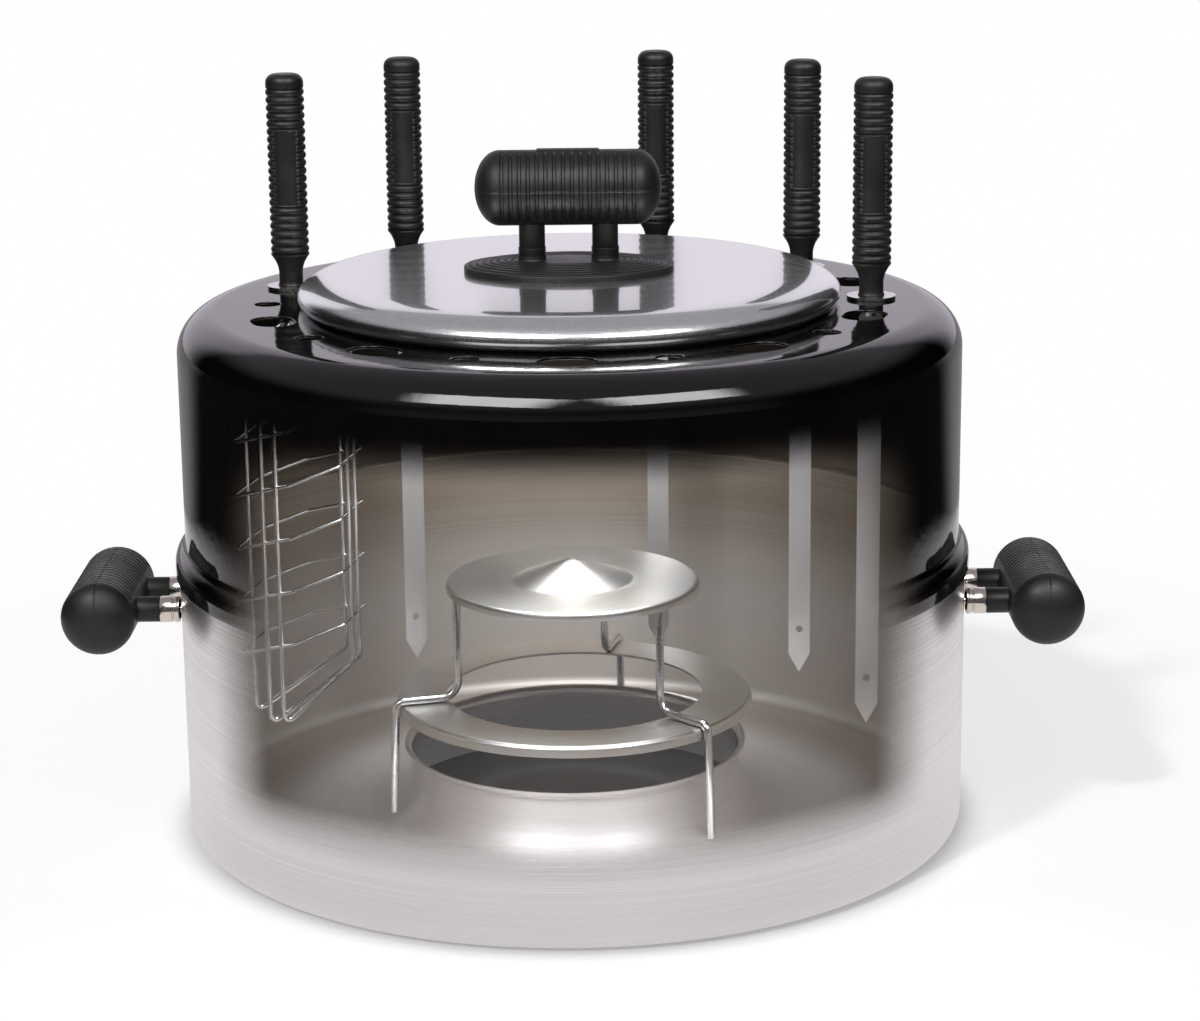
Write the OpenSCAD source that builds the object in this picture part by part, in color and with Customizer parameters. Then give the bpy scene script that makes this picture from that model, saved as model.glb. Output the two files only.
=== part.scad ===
// Stovetop grill: a spun base pan with a collar in its floor, a lift-off hood with a loose lid,
// skewers and a wire basket that hang through the hood, and a heat spreader on three wire legs.
// Millimetres, Z up. The origin is on the stove surface, on the grill's axis.

/* [Base pan] */
// Outer diameter of the base pan
base_d = 350; // [330:1:380]
// Height of the base pan's rim above the stove
base_h = 126; // [118:1:150]
// Sheet thickness of the base pan
base_sheet = 1.5; // [1:0.1:2.5]
// Outer radius between the base pan's floor and wall
base_corner_r = 7; // [4:0.5:15]

/* [Collar] */
// Diameter of the throat in the base pan's floor
throat_d = 147; // [130:1:150]
// Height of the collar above the stove
collar_h = 33; // [29:1:40]
// Radius of the collar's turned-out edge
collar_edge_r = 4; // [2.5:0.5:6]
// Radius of the flare from the collar to the floor
collar_flare_r = 20; // [14:1:22]

/* [Hood] */
// How far the hood's wall stands inside the base pan's wall
hood_inset = 3; // [2:0.5:6]
// Height of the hood's top above the base pan's rim
hood_h = 108.3; // [100:0.1:130]
// Sheet thickness of the hood
hood_sheet = 1.2; // [0.8:0.1:2]
// Outer radius of the hood's shoulder
shoulder_r = 17.5; // [10:0.5:22]
// How far the hood's lip reaches down over the base pan's rim
lip_overlap = 7.6; // [6:0.1:12]
// Radial gap between the hood's lip and the base pan's wall
lip_gap = 0.5; // [0.3:0.1:1]
// Radius of the bend out from the hood's wall to its lip
lip_flare_r = 4; // [3:0.5:6]
// Radius of the bend back down into the lip
lip_bend_r = 9; // [7:0.5:10]
// How far the edge of the top opening lies inside the lid's edge
opening_inset = 12; // [10:0.5:16]
// Height of the upturned edge of the top opening
opening_lip_h = 4; // [3:0.5:6]
// Radius at the foot of that upturned edge
opening_edge_r = 1.5; // [1:0.5:2.5]

/* [Skewer holes] */
// Distance from the hood's wall to the circle of holes
hole_inset = 39.3; // [36:0.1:45]
// Number of wide holes, with a small hole between each two
hole_count = 10; // [8:1:12]
// Length of a wide hole along the circle
wide_hole_l = 24; // [20:0.5:28]
// Width of a wide hole across the circle
wide_hole_w = 18; // [14:0.5:19]
// Gap between a blade's edge and the small hole that it turns in
blade_gap = 0.65; // [0.4:0.05:1]

/* [Lid] */
// Distance from the circle of holes to the lid's edge
lid_inset = 13.7; // [12.5:0.1:18]
// Height of the lid's top above the hood's top
lid_h = 13.7; // [12:0.1:20]
// Sheet thickness of the lid
lid_sheet = 1.2; // [0.8:0.1:2]
// Width of the rounded band around the lid's flat top
lid_round_w = 19; // [12:0.5:25]
// Radius of the lid's edge where it curls under
lid_curl_r = 5; // [4:0.5:6]

/* [Pan grips] */
// Length of a pan grip
grip_l = 81.5; // [75:0.5:95]
// Diameter of a pan grip
grip_d = 32.8; // [28:0.2:38]
// Length of a pan grip's rounded end
grip_end_l = 11; // [8:0.5:11.5]
// Number of grooves round a pan grip
groove_count = 16; // [10:1:16]
// Distance between two grooves
groove_pitch = 3.8; // [3:0.1:3.8]
// Width of a groove
groove_w = 1.9; // [1:0.1:2.2]
// Depth of a groove
groove_depth = 0.8; // [0.2:0.1:1.2]
// Distance between a grip's two posts
post_gap = 32; // [28:0.5:38]
// Diameter of a post
post_d = 11.4; // [10:0.2:12]

/* [Lid handle] */
// Length of the oval plate under the lid's grip
plate_l = 92; // [84:1:100]
// Width of the oval plate
plate_w = 68; // [62:1:74]
// Radius of the oval plate's two ends
plate_end_r = 26; // [22:0.5:29]
// Thickness of the plate's edge
plate_edge_t = 2.9; // [2:0.1:4]
// Number of rings on the plate
ring_count = 6; // [4:1:6]
// Distance between two rings
ring_pitch = 3.4; // [3:0.1:3.8]
// Height of one ring's step
ring_step = 0.35; // [0.2:0.05:0.5]
// Diameter of the bosses that the posts stand on
boss_d = 12.2; // [11:0.2:14]
// Height of the bosses above the plate's centre
boss_h = 5.6; // [4:0.2:8]
// Length of a lid post between its boss and the grip
lid_post_l = 9.6; // [8:0.2:16]

/* [Side handles] */
// How far the posts' axis lies below the base pan's rim
side_drop = 26; // [22:0.5:34]
// Gap between the wall and a side grip
side_standoff = 18.2; // [15:0.2:25]
// Length of the metal ferrule between the wall and a post
ferrule_l = 8.8; // [7:0.2:11]
// Diameter of a ferrule
ferrule_d = 12; // [11:0.2:13]
// Depth of the groove round a ferrule
ferrule_groove = 0.4; // [0.2:0.1:0.8]

/* [Screws] */
// Diameter of the handle screws
screw_d = 4; // [3:0.5:5]
// Radial gap round a screw in its hole
screw_gap = 0.1; // [0.1:0.05:0.3]
// How far a screw goes into its post
screw_grip_l = 12; // [8:0.5:13]
// Diameter of a screw's head
head_d = 8; // [7:0.2:9]
// Height of a screw's head
head_h = 2.4; // [1.8:0.1:3]
// Diameter of a washer
washer_d = 11; // [10:0.2:13]
// Thickness of a washer
washer_t = 1; // [0.8:0.1:1.5]

/* [Heat spreader] */
// Diameter of the spreader's top disc
disc_d = 115; // [105:1:125]
// Height of the top disc above the ring
disc_lift = 52.5; // [40:0.5:65]
// Depth of the top disc's turned-down rim
disc_rim = 3.5; // [3:0.1:6]
// Sheet thickness of the disc and the ring
spreader_sheet = 1; // [0.8:0.1:1.4]
// Outer radius at the edges of the disc and the ring
spreader_edge_r = 2; // [1.6:0.1:2.2]
// Diameter of the cone in the middle of the disc
cone_d = 54.5; // [45:0.5:65]
// Height of the cone
cone_h = 9.5; // [6:0.5:12]
// Radius of the cone's rounded tip
cone_tip_r = 14; // [8:0.5:15]
// Outer diameter of the ring
ring_d = 161; // [155:1:168]
// Diameter of the hole in the ring
ring_hole_d = 116; // [112:1:124]
// Height of the ring's face above the collar
ring_lift = 22; // [16:0.5:30]
// Depth of the ring's turned-down rim
ring_rim = 5; // [3.5:0.1:8]
// Diameter of the leg wire
leg_d = 3.2; // [2.6:0.1:4]
// Bend radius of the leg wire's middle line
leg_bend_r = 3.2; // [2.6:0.1:3.6]
// How far the feet splay out beyond the ring
foot_splay = 2.5; // [1:0.1:5]
// Direction of the first leg, in degrees
first_leg_a = 75; // [60:1:90]

/* [Skewers] */
// Length of a skewer's grip
handle_l = 95; // [92:0.5:105]
// Diameter of a skewer's grip over its ribs
handle_d = 16.6; // [15:0.2:19]
// Depth of the grip's ribs
rib_depth = 0.9; // [0.4:0.1:1.2]
// Distance between two ribs
rib_pitch = 3.53; // [3.2:0.01:3.6]
// Number of ribs
rib_count = 20; // [15:1:20]
// Length of the slim neck at the foot of the grip
neck_l = 13.7; // [11:0.1:16]
// Diameter of the neck
neck_d = 10.7; // [9:0.1:12]
// Height of the plain collar above the neck
handle_collar_l = 4.4; // [3:0.1:6]
// Length of the grip's smooth panel
panel_l = 33; // [25:1:40]
// Width of the smooth panel
panel_w = 10; // [7:0.2:11]
// Width of a skewer's blade
blade_w = 10.2; // [8:0.1:11.5]
// Thickness of the blade
blade_t = 1.5; // [1:0.1:2.5]
// Length of the blade below the hood's top
blade_l = 196.3; // [150:0.1:200]
// Length of the blade's point
point_l = 9.3; // [5:0.1:14]
// Diameter of the hole near the blade's point
eye_d = 3.2; // [2:0.1:4]
// Height of that hole above the point
eye_h = 21.5; // [16:0.5:40]
// Diameter of the round tang
tang_d = 5; // [4:0.1:6]
// How far the tang goes into the grip
tang_in_l = 40; // [25:1:60]
// How far below the hood's top the tang meets the blade
tang_below_l = 8; // [5:0.5:14]
// Diameter of the guard disc
guard_d = 21.6; // [20.6:0.1:24]
// Thickness of the guard disc
guard_t = 1.2; // [1:0.1:2]
// Radial running gap between the tang and the guard
run_gap = 0.05; // [0.03:0.01:0.1]

/* [Basket] */
// Length of the basket's hexagon from tip to tip
basket_l = 62; // [54:1:64]
// Width of the hexagon across its two long sides
basket_w = 42; // [34:1:46]
// Length of the hexagon's long sides
basket_side = 24; // [18:1:30]
// Turn of the hexagon about the basket's axis, in degrees
basket_turn = 25; // [15:1:35]
// Diameter of the upright wires
upright_d = 2.4; // [2:0.1:3]
// Diameter of the hoop wires
hoop_d = 1.6; // [1.2:0.1:2]
// Number of hoops
hoop_count = 6; // [4:1:7]
// Distance between two hoops
hoop_pitch = 25; // [20:0.5:25]
// Rise of a hoop per millimetre towards the spreader
hoop_slope = 0.28; // [0:0.02:0.3]
// Drop from the hood's top to the top hoop
basket_drop = 36; // [34:0.5:45]
// Drop from the hood's top to the basket's lowest wire
basket_reach = 202; // [185:1:205]
// How far the bottom wires rise from one side to the other
bottom_rise = 26; // [15:1:34]
// Bend radius of the basket's wires
basket_bend_r = 3; // [2.5:0.5:4]
// Diameter of the collar that holds the basket's wires to the tang
basket_collar_d = 9; // [8:0.2:11]
// Length of that collar
basket_collar_l = 10; // [8:0.5:12]

/* [Hidden] */
$fn = 96;
// Gap left under each piece that lifts off its seat
seat_gap = 0.2;
// Gap between a skewer's grip and its guard
turn_gap = 0.2;
// Gap between a fixed part and the curved wall it is fitted to
wall_gap = 0.05;
// Extra length that carries a cut through a surface
cut = 1;
// How far the beads in a wire stand out of it
bead_over = 0.04;
// Facets of the wide cylinders that small parts are shaped to
wall_fn = 360;
// Angle through which the lid's edge curls under
curl_a = 80;
// Half angle of the cone's rounded tip
tip_a = 25;

SKEWER_ANGLES = [0, 36, 72, 126];
BASKET_ANGLE = 162;
LEFT = -1;
RIGHT = 1;

base_r = base_d / 2;
throat_r = throat_d / 2;
hood_r = base_r - hood_inset;
hood_top = base_h + hood_h;
lip_r = base_r + lip_gap + hood_sheet;
lip_z = base_h - lip_overlap;
lip_flare_a = acos(1 - (lip_r - hood_r) / (lip_flare_r + lip_bend_r));
lip_bend_z = base_h + seat_gap
    - sqrt(pow(lip_bend_r - hood_sheet, 2) - pow(base_r - lip_r + lip_bend_r, 2));
lip_flare_top = lip_bend_z + (lip_flare_r + lip_bend_r) * sin(lip_flare_a);
hole_r = hood_r - hole_inset;
small_hole_d = blade_w + 2 * blade_gap;
lid_r = hole_r - lid_inset;
opening_r = lid_r - opening_inset;
lid_top = hood_top + lid_h;
lid_wide_z = hood_top + seat_gap + lid_curl_r * sin(curl_a);
grip_r = grip_d / 2;
screw_hole_d = screw_d + 2 * screw_gap;
plate_crown = ring_count * ring_step;
boss_top = lid_top + plate_edge_t + plate_crown + boss_h;
lid_grip_z = boss_top + lid_post_l + grip_r;
side_z = base_h - side_drop;
side_grip_r = base_r + side_standoff + grip_r;
side_post_reach = grip_r + side_standoff - ferrule_l;
wall_inside = base_r - base_sheet;
washer_face = sqrt(pow(wall_inside, 2) - pow((post_gap + washer_d) / 2, 2)) - washer_t;
ring_z = collar_h + ring_lift;
disc_z = ring_z + disc_lift;
disc_r = disc_d / 2;
ring_r = ring_d / 2;
leg_in_r = disc_r - spreader_edge_r - leg_d / 2;
leg_out_r = max(ring_r, throat_r + collar_edge_r) + leg_d / 2 + seat_gap;
foot_r = leg_out_r + foot_splay;
guard_z = hood_top + seat_gap;
handle_z = guard_z + guard_t + turn_gap;
tang_hole_d = tang_d + 2 * run_gap;

// Points on an arc about c, with a0 and a1 in degrees
function arc(c, r, a0, a1, n) =
    [for (i = [0:n]) let (a = a0 + (a1 - a0) * i / n) c + r * [cos(a), sin(a)]];

// A list without its first point
function tail(p) = [for (i = [1:len(p) - 1]) p[i]];

// Normal on the left of the way from a to b
function left_normal(a, b) = [a[1] - b[1], b[0] - a[0]] / norm(b - a);

// Point i of a path, moved sideways by t with mitred corners
function offset_point(p, i, t) =
    let (j = max(i - 1, 0), k = min(i, len(p) - 2))
    let (n1 = left_normal(p[j], p[j + 1]), n2 = left_normal(p[k], p[k + 1]))
    let (q = p[i] + t * (n1 + n2) / (1 + n1 * n2))
    [max(q[0], 0), q[1]];

function unit(v) = v / norm(v);

// A unit vector square to v
function square_to(v) = unit(abs(v[2]) < 0.9 * norm(v) ? cross(v, [0, 0, 1]) : cross(v, [1, 0, 0]));

// The matrix that carries the axes to x, y, z and the origin to o
function placed(x, y, z, o) =
    [[x[0], y[0], z[0], o[0]], [x[1], y[1], z[1], o[1]], [x[2], y[2], z[2], o[2]], [0, 0, 0, 1]];

// Angle between two directions
function turn(a, b) = acos(max(-1, min(1, unit(a) * unit(b))));

// Length that a bend of radius r takes off each leg of the corner a, b, c
function bend_trim(a, b, c, r) = r * tan(turn(b - a, c - b) / 2);

// Height of the base pan's inside at a distance r from the axis, on the collar's flare
function flare_z(r) =
    let (x = throat_r + collar_flare_r - r)
    x <= 0 ? base_sheet : collar_flare_r - sqrt(pow(collar_flare_r - base_sheet, 2) - x * x);

// A spun sheet: the outline path, thickened by t to its left, turned about Z
module spun_sheet(path, t) {
    back = [for (i = [len(path) - 1:-1:0]) offset_point(path, i, t)];
    rotate_extrude() polygon(concat(path, back));
}

// A straight round rod from a to b
module rod(a, b, d) {
    z = unit(b - a);
    x = square_to(z);
    multmatrix(placed(x, cross(z, x), z, a)) cylinder(h = norm(b - a), d = d);
}

// The bend of radius r at the corner a, b, c of a wire
module elbow(a, b, c, d, r) {
    along = unit(b - a);
    across = unit((c - b) - ((c - b) * along) * along);
    start = b - bend_trim(a, b, c, r) * along;
    multmatrix(placed(-across, along, cross(-across, along), start + r * across))
        rotate_extrude(angle = turn(b - a, c - b)) translate([r, 0]) circle(d = d);
}

// A bead that joins two lengths of wire
module bead(at, d) {
    translate(at) sphere(d = d + 2 * bead_over);
}

// A bent wire through the points p: straight lengths and bends of radius r, joined by beads
module wire(p, d, r) {
    n = len(p);
    for (i = [0:n - 2]) {
        along = unit(p[i + 1] - p[i]);
        start = p[i] + (i > 0 ? bend_trim(p[i - 1], p[i], p[i + 1], r) : 0) * along;
        end = p[i + 1] - (i < n - 2 ? bend_trim(p[i], p[i + 1], p[i + 2], r) : 0) * along;
        rod(start, end, d);
        if (i > 0) bead(start, d);
        if (i < n - 2) bead(end, d);
    }
    for (i = [1:n - 2]) elbow(p[i - 1], p[i], p[i + 1], d, r);
}

// A closed wire with sharp corners
module hoop(p, d) {
    for (i = [0:len(p) - 1]) {
        rod(p[i], p[(i + 1) % len(p)], d);
        bead(p[i], d);
    }
}

// Children at each of a grip's two posts
module at_posts() {
    for (s = [-1, 1]) translate([s * post_gap / 2, 0, 0]) children();
}

// Children in a side grip's own frame: the grip along X, its posts along -Z towards the wall
module at_side(s) {
    translate([s * side_grip_r, 0, side_z]) rotate([0, s * 90, 0]) rotate([0, 0, 90]) children();
}

// Children at a place on the circle of holes, turned so that X points outwards
module at_hole(a) {
    rotate([0, 0, a]) translate([hole_r, 0, 0]) children();
}

// A screw along Z with its head's underside at the origin and its shank upwards
module screw(l) {
    translate([0, 0, -head_h]) cylinder(h = head_h, d = head_d);
    cylinder(h = l, d = screw_d);
}

// A four-arc oval, inset all round
module oval(inset) {
    r1 = plate_end_r - inset;
    b = plate_w / 2 - inset;
    c = plate_l / 2 - plate_end_r;
    r2 = (c * c + b * b - r1 * r1) / (2 * (b - r1));
    meet_x = r2 * c / (r2 - r1);
    intersection() {
        translate([0, b - r2]) circle(r2);
        translate([0, r2 - b]) circle(r2);
        square([2 * meet_x, 2 * b], center = true);
    }
    for (s = [-1, 1]) translate([s * c, 0]) circle(r1);
}

// Outline of half a pan grip, radius against length
function grip_outline() = concat(
    [for (i = [0:8]) let (a = i * 90 / 8) [grip_r * sin(a), -grip_l / 2 + grip_end_l * (1 - cos(a))]],
    [for (k = [0:groove_count - 1]) let (z = (k - (groove_count - 1) / 2) * groove_pitch) each [
        [grip_r, z - groove_w / 2], [grip_r - groove_depth, z - groove_w / 4],
        [grip_r - groove_depth, z + groove_w / 4], [grip_r, z + groove_w / 2]]],
    [for (i = [0:8]) let (a = 90 - i * 90 / 8) [grip_r * sin(a), grip_l / 2 - grip_end_l * (1 - cos(a))]]
);

// A pan grip along X on two posts that reach down from its axis, bored for screws
module pan_grip(reach) {
    difference() {
        union() {
            rotate([0, 90, 0]) rotate_extrude() polygon(grip_outline());
            at_posts() translate([0, 0, -reach]) cylinder(h = reach, d = post_d);
        }
        at_posts() translate([0, 0, -reach - cut]) cylinder(h = screw_grip_l + 2 * cut, d = screw_hole_d);
    }
}

// Outline of half a skewer's grip, radius against height above its foot
function handle_outline() =
    let (r = handle_d / 2, n = neck_d / 2)
    let (ribs_z = neck_l + handle_collar_l, ribs_top = ribs_z + rib_count * rib_pitch)
    let (cap_r = min(4.5, (handle_l - ribs_top) * 0.7))
    concat(
        [[0, 0], [n + 0.5, 0]],
        [for (f = [0:0.1:1]) [n + (r - n) * (1 - cos(180 * f)) / 2, neck_l * (0.2 + 0.8 * f)]],
        [[r, ribs_z - rib_depth]],
        [for (i = [0:6 * rib_count]) [r - rib_depth * (1 + cos(60 * i)) / 2, ribs_z + i * rib_pitch / 6]],
        [[r, ribs_top + rib_depth]],
        arc([r - cap_r, handle_l - cap_r], cap_r, 0, 90, 6),
        [[0, handle_l]]
    );

// A skewer's grip along Z from its foot at the origin, with a smooth panel on its front and back
module handle() {
    panel_z = neck_l + handle_collar_l + (rib_count * rib_pitch - panel_l) / 2;
    panel_r = handle_d / 2 - rib_depth / 2;
    difference() {
        union() {
            rotate_extrude() polygon(handle_outline());
            intersection() {
                translate([0, 0, panel_z]) cylinder(h = panel_l, r = panel_r);
                translate([-panel_w / 2, -handle_d, 0]) cube([panel_w, 2 * handle_d, handle_l]);
            }
        }
        difference() {
            translate([-panel_w / 2, -handle_d, panel_z]) cube([panel_w, 2 * handle_d, panel_l]);
            translate([0, 0, panel_z - cut]) cylinder(h = panel_l + 2 * cut, r = panel_r);
        }
        translate([0, 0, -cut]) cylinder(h = tang_in_l + 2 * cut, d = tang_hole_d);
    }
}

// A guard disc on the hood, at the place a on the circle of holes
module guard(a) {
    color("silver") at_hole(a) translate([0, 0, guard_z]) difference() {
        cylinder(h = guard_t, d = guard_d);
        translate([0, 0, -cut]) cylinder(h = guard_t + 2 * cut, d = tang_hole_d);
    }
}

// A skewer's grip above its guard, with its panel towards the front
module skewer_grip(a) {
    color("#2b2927") at_hole(a) rotate([0, 0, -a]) translate([0, 0, handle_z]) handle();
}

// The round tang that joins a blade or a basket to its grip, from below the hood's top
module tang(below) {
    translate([0, 0, hood_top - below]) cylinder(h = handle_z + tang_in_l - hood_top + below, d = tang_d);
}

// A flat blade with a point and an eye, on a round tang
module skewer_blade(a) {
    tip_z = hood_top - blade_l;
    w = blade_w / 2;
    top_z = hood_top - tang_below_l + tang_d;
    half = [[0, tip_z], [w, tip_z + point_l], [w, top_z - w], [0, top_z]];
    outline = concat(half, [for (i = [2, 1]) [-half[i][0], half[i][1]]]);
    color("lightsteelblue") at_hole(a) rotate([0, 0, -a]) {
        difference() {
            rotate([90, 0, 0]) linear_extrude(blade_t, center = true) polygon(outline);
            translate([0, 0, tip_z + eye_h]) rotate([90, 0, 0])
                cylinder(h = 2 * blade_t, d = eye_d, center = true);
        }
        tang(tang_below_l);
    }
}

// The base pan: collar, floor and wall spun from one sheet, with holes for the handle screws
module base_pan() {
    path = concat(
        arc([throat_r + collar_edge_r, collar_h - collar_edge_r], collar_edge_r, 90, 180, 6),
        arc([throat_r + collar_flare_r, collar_flare_r], collar_flare_r, 180, 270, 10),
        arc([base_r - base_corner_r, base_corner_r], base_corner_r, 270, 360, 8),
        [[base_r, base_h]]
    );
    color("silver") difference() {
        spun_sheet(path, base_sheet);
        for (s = [LEFT, RIGHT]) at_side(s) at_posts()
            translate([0, 0, -side_grip_r + washer_face]) cylinder(h = side_post_reach, d = screw_hole_d);
    }
}

module side_grip(s) {
    color("#2b2927") at_side(s) pan_grip(side_post_reach);
}

// Two metal ferrules between the wall and a side grip's posts, shaped to the wall
module side_ferrules(s) {
    r = ferrule_d / 2;
    groove_z = -ferrule_l * 0.6;
    reach = -ferrule_l - cut * 2;
    outline = [[screw_hole_d / 2, reach], [r, reach], [r, groove_z - ferrule_groove],
        [r - ferrule_groove, groove_z], [r, groove_z + ferrule_groove], [r, 0], [screw_hole_d / 2, 0]];
    color("gainsboro") difference() {
        at_side(s) at_posts() translate([0, 0, -side_post_reach]) rotate_extrude() polygon(outline);
        cylinder(h = base_h, r = base_r + wall_gap, $fn = wall_fn);
    }
}

// Two washers inside the base pan, flat towards the screw and curved towards the wall
module side_washers(s) {
    color("gainsboro") intersection() {
        at_side(s) at_posts() translate([0, 0, -side_grip_r + washer_face]) difference() {
            cylinder(h = base_sheet + 4 * washer_t, d = washer_d);
            translate([0, 0, -cut]) cylinder(h = base_sheet + 6 * washer_t, d = screw_hole_d);
        }
        cylinder(h = base_h, r = wall_inside - wall_gap, $fn = wall_fn);
    }
}

module side_screws(s) {
    reach = side_grip_r - washer_face - side_post_reach + screw_grip_l;
    color("gainsboro") at_side(s) at_posts() translate([0, 0, -side_grip_r + washer_face]) screw(reach);
}

// The hood, spun from one sheet from its top opening to its lip, with the ring of holes
module hood() {
    path = concat(
        [[opening_r, hood_top + opening_lip_h]],
        arc([opening_r + opening_edge_r, hood_top + opening_edge_r], opening_edge_r, 180, 270, 4),
        arc([hood_r - shoulder_r, hood_top - shoulder_r], shoulder_r, 90, 0, 10),
        arc([hood_r + lip_flare_r, lip_flare_top], lip_flare_r, 180, 180 + lip_flare_a, 5),
        tail(arc([lip_r - lip_bend_r, lip_bend_z], lip_bend_r, lip_flare_a, 0, 6)),
        [[lip_r, lip_z]]
    );
    step = 360 / hole_count;
    color("#241f22") difference() {
        spun_sheet(path, -hood_sheet);
        for (i = [0:hole_count - 1]) {
            at_hole((i + 0.5) * step) wide_hole();
            at_hole(i * step) translate([0, 0, hood_top - 2 * hood_sheet])
                cylinder(h = 3 * hood_sheet, d = small_hole_d);
        }
    }
}

// One wide hole through the hood's top: two round ends and the straight between
module wide_hole() {
    reach = (wide_hole_l - wide_hole_w) / 2;
    translate([0, 0, hood_top - 2 * hood_sheet]) linear_extrude(3 * hood_sheet) {
        for (s = [-1, 1]) translate([0, s * reach]) circle(d = wide_hole_w);
        square([wide_hole_w, 2 * reach], center = true);
    }
}

// The lid's dish: flat top, rounded band and an edge that curls under
module lid_dish() {
    rise = lid_top - lid_wide_z;
    path = concat(
        [[0, lid_top]],
        [for (i = [0:10]) let (a = 9 * i) [lid_r - lid_round_w * (1 - sin(a)), lid_wide_z + rise * cos(a)]],
        tail(arc([lid_r - lid_curl_r, lid_wide_z], lid_curl_r, 0, -curl_a, 6))
    );
    color("gainsboro") difference() {
        spun_sheet(path, -lid_sheet);
        at_posts() translate([0, 0, lid_top - lid_sheet - cut])
            cylinder(h = lid_sheet + 2 * cut, d = screw_hole_d);
    }
}

// The oval plate on the lid: a plain edge, steps up to a smooth middle, and two bosses
module lid_handle_plate() {
    color("#2b2927") translate([0, 0, lid_top]) difference() {
        union() {
            linear_extrude(plate_edge_t) oval(0);
            for (i = [1:ring_count])
                translate([0, 0, plate_edge_t + (i - 1) * ring_step])
                    linear_extrude(ring_step) oval(i * ring_pitch);
            at_posts() cylinder(h = plate_edge_t + plate_crown + boss_h, d = boss_d);
        }
        at_posts() translate([0, 0, -cut]) cylinder(h = boss_top - lid_top + 2 * cut, d = screw_hole_d);
    }
}

module lid_grip() {
    color("#2b2927") translate([0, 0, lid_grip_z]) pan_grip(grip_r + lid_post_l);
}

module lid_washers() {
    color("gainsboro") at_posts() translate([0, 0, lid_top - lid_sheet - washer_t]) difference() {
        cylinder(h = washer_t, d = washer_d);
        translate([0, 0, -cut]) cylinder(h = washer_t + 2 * cut, d = screw_hole_d);
    }
}

module lid_screws() {
    under = lid_top - lid_sheet - washer_t;
    color("gainsboro") at_posts() translate([0, 0, under]) screw(boss_top - under + screw_grip_l);
}

// The spreader's top disc, with its cone and its turned-down rim
module spreader_disc() {
    path = concat(
        arc([0, disc_z + cone_h - cone_tip_r], cone_tip_r, 90, 90 - tip_a, 4),
        [[cone_d / 2, disc_z]],
        arc([disc_r - spreader_edge_r, disc_z - spreader_edge_r], spreader_edge_r, 90, 0, 5),
        [[disc_r, disc_z - disc_rim]]
    );
    color("silver") spun_sheet(path, -spreader_sheet);
}

// The flat ring below the disc, with its turned-down rim
module spreader_ring() {
    path = concat(
        [[ring_hole_d / 2, ring_z]],
        arc([ring_r - spreader_edge_r, ring_z - spreader_edge_r], spreader_edge_r, 90, 0, 5),
        [[ring_r, ring_z - ring_rim]]
    );
    color("silver") spun_sheet(path, -spreader_sheet);
}

// Three bent wire legs: from under the disc's rim, out over the ring, and down to the collar's flare
module spreader_legs() {
    run_z = ring_z + leg_d / 2 + wall_gap;
    foot_z = flare_z(foot_r - leg_d / 2) + seat_gap;
    path = [[leg_in_r, 0, disc_z - spreader_sheet], [leg_in_r, 0, run_z], [leg_out_r, 0, run_z],
        [foot_r, 0, foot_z]];
    color("silver") for (i = [0:2]) rotate([0, 0, first_leg_a + 120 * i]) wire(path, leg_d, leg_bend_r);
}

// A point on the basket's hexagon: f runs from 0 to 1 along side i
function hexagon_point(i, f) =
    let (x = basket_l / 2, s = basket_side / 2, y = basket_w / 2)
    let (corners = [[x, 0], [s, y], [-s, y], [-x, 0], [-s, -y], [s, -y]])
    let (p = corners[i % 6] * (1 - f) + corners[(i + 1) % 6] * f)
    [p[0] * cos(basket_turn) - p[1] * sin(basket_turn), p[0] * sin(basket_turn) + p[1] * cos(basket_turn)];

// One upright pair bent from a single wire: down one side, across the bottom, up the other to the tang
function upright_path(from, to, bottom, rise) =
    let (a = hexagon_point(from[0], from[1]), b = hexagon_point(to[0], to[1]))
    let (top_z = hood_top - basket_drop + tang_below_l)
    let (join_z = hood_top - tang_below_l - basket_collar_l / 2)
    [[unit(a)[0], unit(a)[1], join_z], [a[0], a[1], top_z], [a[0], a[1], bottom],
        [b[0], b[1], bottom + rise], [b[0], b[1], top_z], [unit(b)[0], unit(b)[1], join_z]];

// The wire basket: three bent upright pairs, sloping hexagonal hoops and the tang
module basket_cage() {
    low_z = hood_top - basket_reach;
    pairs = [[[3, 0.5], [5, 0.65]], [[3, 0.75], [5, 0.35]], [[2, 0.5], [0, 0.4]]];
    color("gainsboro") at_hole(BASKET_ANGLE) rotate([0, 0, -BASKET_ANGLE]) {
        for (p = pairs) wire(upright_path(p[0], p[1], low_z, bottom_rise), upright_d, basket_bend_r);
        for (k = [0:hoop_count - 1]) {
            z = hood_top - basket_drop - k * hoop_pitch;
            corners = [for (i = [0:5]) hexagon_point(i, 0)];
            hoop([for (q = corners) [q[0], q[1], z + hoop_slope * q[0]]], hoop_d);
        }
        translate([0, 0, hood_top - tang_below_l - basket_collar_l])
            cylinder(h = basket_collar_l, d = basket_collar_d);
        tang(tang_below_l + basket_collar_l / 2);
    }
}

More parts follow.
